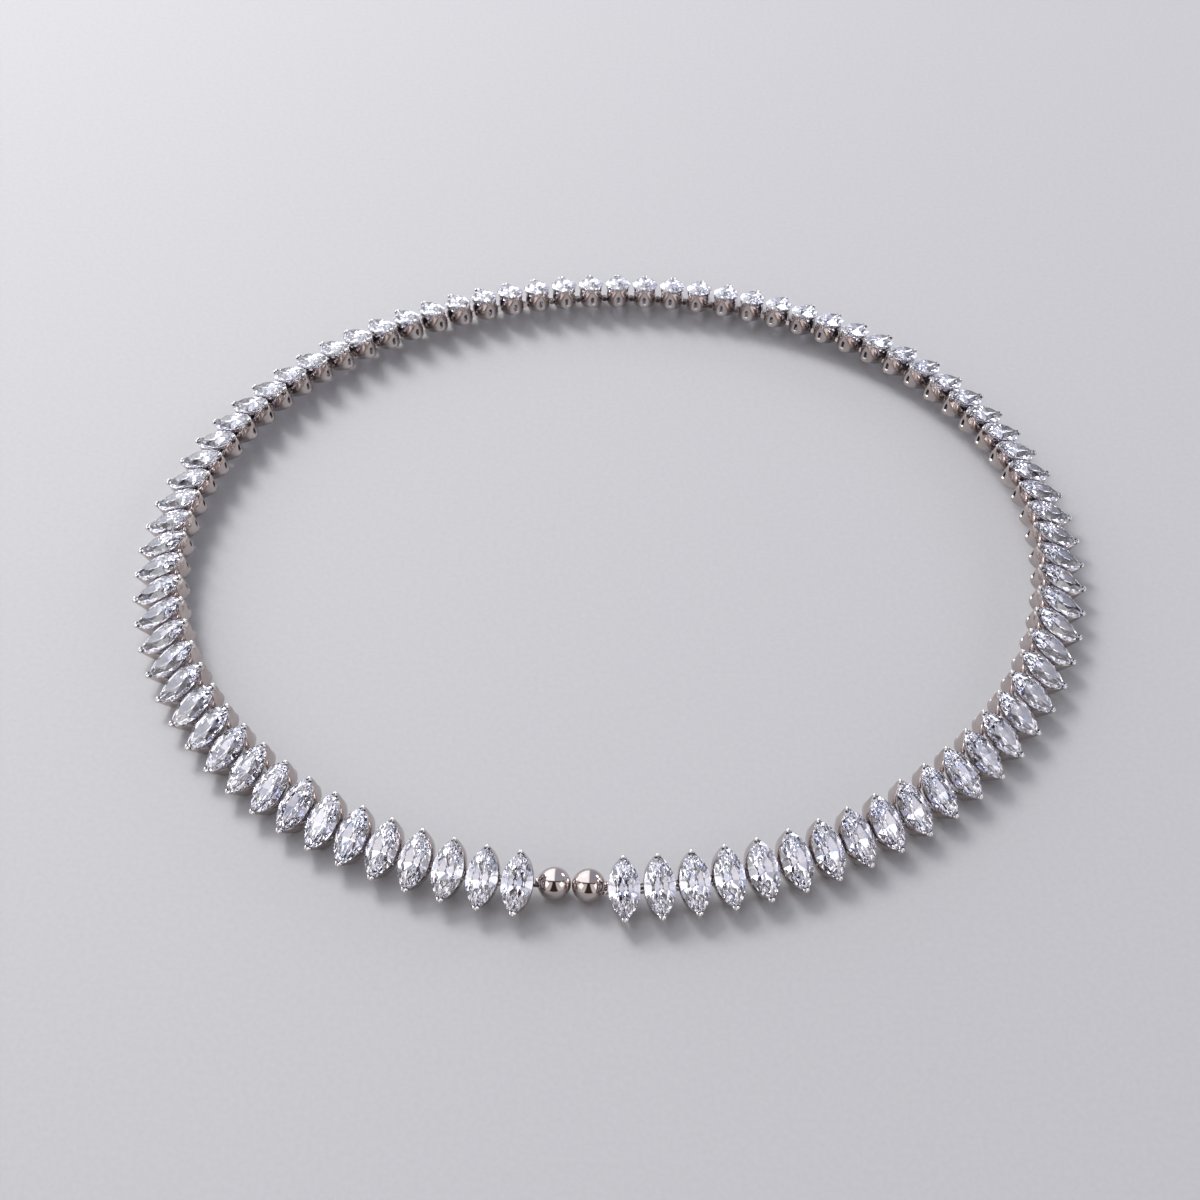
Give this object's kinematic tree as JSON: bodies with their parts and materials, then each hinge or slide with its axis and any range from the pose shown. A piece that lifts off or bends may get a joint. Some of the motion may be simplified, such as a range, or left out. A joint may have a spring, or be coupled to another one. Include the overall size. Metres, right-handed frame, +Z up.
{
  "type": "marquise tennis necklace",
  "caption": "Closed loop of marquise stones set side by side in open claw baskets that lean outwards, with a magnetic ball clasp at the front.",
  "frame": {"origin": "middle of the loop, on the table that it lies on", "axes": "+Z up, -Y to the front of the loop where the clasp is, +X to the right of someone who faces the clasp"},
  "size_m": [0.1362, 0.1256, 0.0069],
  "materials": {
    "setting_silver": "polished rhodium-plated silver",
    "crystal": "faceted and polished cubic zirconia",
    "clasp_steel": "mirror-polished steel"
  },
  "bodies": {
    "root": {"clasp_ball_right": "clasp_steel", "clasp_ball_left": "clasp_steel", "setting_right_01": "setting_silver", "stone_right_01": "crystal", "setting_right_02": "setting_silver", "stone_right_02": "crystal", "setting_right_03": "setting_silver", "stone_right_03": "crystal", "setting_right_04": "setting_silver", "stone_right_04": "crystal", "setting_right_05": "setting_silver", "stone_right_05": "crystal", "setting_right_06": "setting_silver", "stone_right_06": "crystal", "setting_right_07": "setting_silver", "stone_right_07": "crystal", "setting_right_08": "setting_silver", "stone_right_08": "crystal", "setting_right_09": "setting_silver", "stone_right_09": "crystal", "setting_right_10": "setting_silver", "stone_right_10": "crystal", "setting_left_01": "setting_silver", "stone_left_01": "crystal", "setting_left_02": "setting_silver", "stone_left_02": "crystal", "setting_left_03": "setting_silver", "stone_left_03": "crystal", "setting_left_04": "setting_silver", "stone_left_04": "crystal", "setting_left_05": "setting_silver", "stone_left_05": "crystal", "setting_left_06": "setting_silver", "stone_left_06": "crystal", "setting_left_07": "setting_silver", "stone_left_07": "crystal", "setting_left_08": "setting_silver", "stone_left_08": "crystal", "setting_left_09": "setting_silver", "stone_left_09": "crystal", "setting_left_10": "setting_silver", "stone_left_10": "crystal", "links_stretch_01": "setting_silver", "links_stretch_02": "setting_silver", "links_stretch_03": "setting_silver", "links_stretch_04": "setting_silver", "links_stretch_05": "setting_silver", "links_stretch_06": "setting_silver", "links_stretch_07": "setting_silver", "links_stretch_08": "setting_silver", "links_stretch_09": "setting_silver", "links_stretch_10": "setting_silver", "links_stretch_11": "setting_silver", "links_stretch_12": "setting_silver", "links_stretch_13": "setting_silver"}
  },
  "joints": []
}
